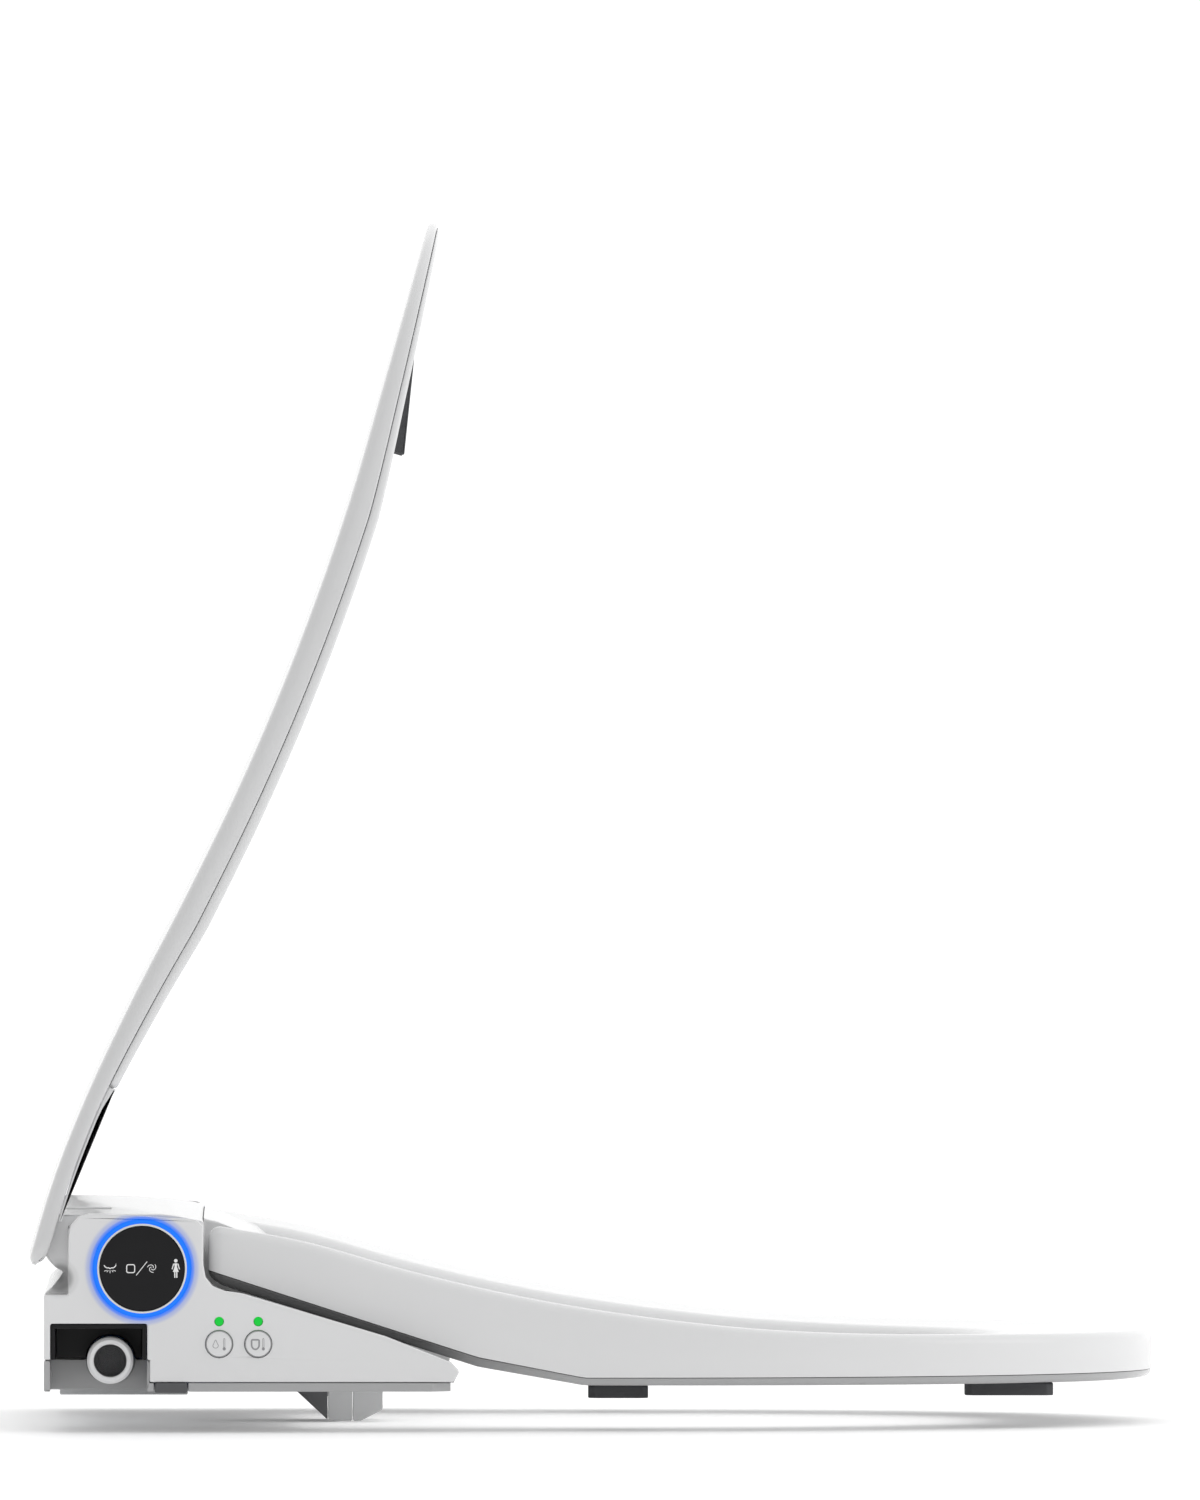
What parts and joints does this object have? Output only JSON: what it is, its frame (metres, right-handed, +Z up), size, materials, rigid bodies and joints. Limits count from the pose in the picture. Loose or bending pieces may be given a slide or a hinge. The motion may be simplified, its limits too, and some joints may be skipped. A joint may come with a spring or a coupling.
{
  "type": "electric bidet seat",
  "caption": "Electric bidet seat: low control unit with side knob and buttons, heated seat ring, slow-closing lid, spray wands and a bolt-down mounting plate.",
  "frame": {"origin": "centre of the mounting plate's underside, on the line of the two fixing bolts, where the unit sits on the bowl's rear deck", "axes": "+Z up, -Y towards the front of the seat, +X to the right seen from the rear, so the control side is -X"},
  "size_m": [0.3985, 0.512, 0.5468],
  "materials": {
    "white_gloss": "smooth glossy white",
    "light_grey_plastic": "light grey moulded",
    "mid_grey_plastic": "satin mid grey",
    "dark_grey_plastic": "dark grey moulded",
    "black_gloss": "glossy black",
    "bumper_rubber": "dark grey soft rubber",
    "blue_light": "blue light guide",
    "green_light": "green indicator lens",
    "steel": "bright steel",
    "circuit_board": "green circuit board",
    "heater_foil": "thin foil",
    "carbon": "porous black carbon",
    "guard_grey": "translucent grey"
  },
  "bodies": {
    "plate": {"mounting_plate": "light_grey_plastic"},
    "unit": {"base_tray": "mid_grey_plastic", "top_cover": "white_gloss", "inlet_bay": "black_gloss", "water_inlet": "white_gloss", "inlet_filter": "dark_grey_plastic", "solenoid_valve": "dark_grey_plastic", "flow_regulator": "light_grey_plastic", "water_heater": "light_grey_plastic", "main_board": "circuit_board", "power_supply": "circuit_board", "power_gland": "dark_grey_plastic", "blower_housing": "dark_grey_plastic", "blower_motor": "steel", "dryer_duct": "dark_grey_plastic", "dryer_heater": "steel", "deodorizer_housing": "light_grey_plastic", "carbon_filter": "carbon", "knob_encoder": "circuit_board", "light_ring": "blue_light", "button_board": "circuit_board", "nozzle_trough": "dark_grey_plastic", "nozzle_guard": "guard_grey", "guard_shield": "guard_grey", "lid_damper": "dark_grey_plastic", "seat_damper": "dark_grey_plastic", "nozzle_guide": "light_grey_plastic", "rear_wand_motor": "steel", "front_wand_motor": "steel", "water_heat_led": "green_light", "seat_heat_led": "green_light"},
    "blower_rotor": {"blower_wheel": "light_grey_plastic"},
    "deodorizer_rotor": {"deodorizer_fan": "dark_grey_plastic"},
    "release": {"release_button": "dark_grey_plastic"},
    "knob_press_body": {"knob_spindle": "light_grey_plastic"},
    "knob": {"knob_rim": "white_gloss", "knob_face": "black_gloss"},
    "water_button": {"water_heat_button": "white_gloss"},
    "seat_button": {"seat_heat_button": "white_gloss"},
    "rear_wand_body": {"rear_wand": "steel", "rear_nozzle_tip": "white_gloss"},
    "front_wand_body": {"front_wand": "steel", "front_nozzle_tip": "white_gloss"},
    "rear_pinion": {"rear_drive_pinion": "white_gloss"},
    "front_pinion": {"front_drive_pinion": "white_gloss"},
    "lid": {"lid_outer": "white_gloss", "lid_lining": "white_gloss", "lid_bumper_left": "bumper_rubber", "lid_bumper_right": "bumper_rubber", "lid_pin_left": "steel", "lid_pin_right": "steel"},
    "seat": {"seat_top": "white_gloss", "seat_base": "white_gloss", "seat_heater": "heater_foil", "seat_pin_left": "steel", "seat_pin_right": "steel", "rear_seat_bumper_left": "bumper_rubber", "rear_seat_bumper_right": "bumper_rubber", "front_seat_bumper_left": "bumper_rubber", "front_seat_bumper_right": "bumper_rubber"}
  },
  "joints": [
    {"name": "unit_release_slide", "type": "slide", "parent": "plate", "child": "unit", "axis": [0, -1, 0], "range_m": [0, 0.04]},
    {"name": "lid_hinge", "type": "hinge", "parent": "unit", "child": "lid", "pos_m": [0, 0.02, 0.072], "axis": [-1, 0, 0], "range_deg": [-73.5, 30]},
    {"name": "seat_hinge", "type": "hinge", "parent": "unit", "child": "seat", "pos_m": [0, -0.0494, 0.067], "axis": [-1, 0, 0], "range_deg": [0, 78]},
    {"name": "knob_press", "type": "slide", "parent": "unit", "child": "knob_press_body", "axis": [1, 0, 0], "range_m": [0, 0.0015], "stiffness_N_per_m": 1200},
    {"name": "knob_turn", "type": "hinge", "parent": "knob_press_body", "child": "knob", "pos_m": [-0.196, -0.0097, 0.0595], "axis": [-1, 0, 0], "range_deg": [-35, 35], "stiffness_Nm_per_rad": 0.05},
    {"name": "water_heat_press", "type": "slide", "parent": "unit", "child": "water_button", "axis": [1, 0, 0], "range_m": [0, 0.0008], "stiffness_N_per_m": 1500},
    {"name": "seat_heat_press", "type": "slide", "parent": "unit", "child": "seat_button", "axis": [1, 0, 0], "range_m": [0, 0.0008], "stiffness_N_per_m": 1500},
    {"name": "release_press", "type": "slide", "parent": "unit", "child": "release", "axis": [1, 0, 0], "range_m": [0, 0.003], "stiffness_N_per_m": 800},
    {"name": "rear_wand_slide", "type": "slide", "parent": "unit", "child": "rear_wand_body", "axis": [0, -0.848, -0.5299], "range_m": [0, 0.07]},
    {"name": "front_wand_slide", "type": "slide", "parent": "unit", "child": "front_wand_body", "axis": [0, -0.848, -0.5299], "range_m": [0, 0.07]},
    {"name": "rear_pinion_turn", "type": "hinge", "parent": "unit", "child": "rear_pinion", "pos_m": [0.0095, -0.02965, 0.05432], "axis": [1, 0, 0], "range_deg": [0, 670]},
    {"name": "front_pinion_turn", "type": "hinge", "parent": "unit", "child": "front_pinion", "pos_m": [-0.0095, -0.02965, 0.05432], "axis": [1, 0, 0], "range_deg": [0, 670]},
    {"name": "blower_spin", "type": "hinge", "parent": "unit", "child": "blower_rotor", "pos_m": [0.083, -0.008, 0.037], "axis": [1, 0, 0], "continuous": true},
    {"name": "deodorizer_spin", "type": "hinge", "parent": "unit", "child": "deodorizer_rotor", "pos_m": [0.1745, -0.01, 0.052], "axis": [1, 0, 0], "continuous": true}
  ],
  "couplings": [
    {"joint": "rear_pinion_turn", "follows": "rear_wand_slide", "rad_per_m": 166.67},
    {"joint": "front_pinion_turn", "follows": "front_wand_slide", "rad_per_m": 166.67}
  ]
}
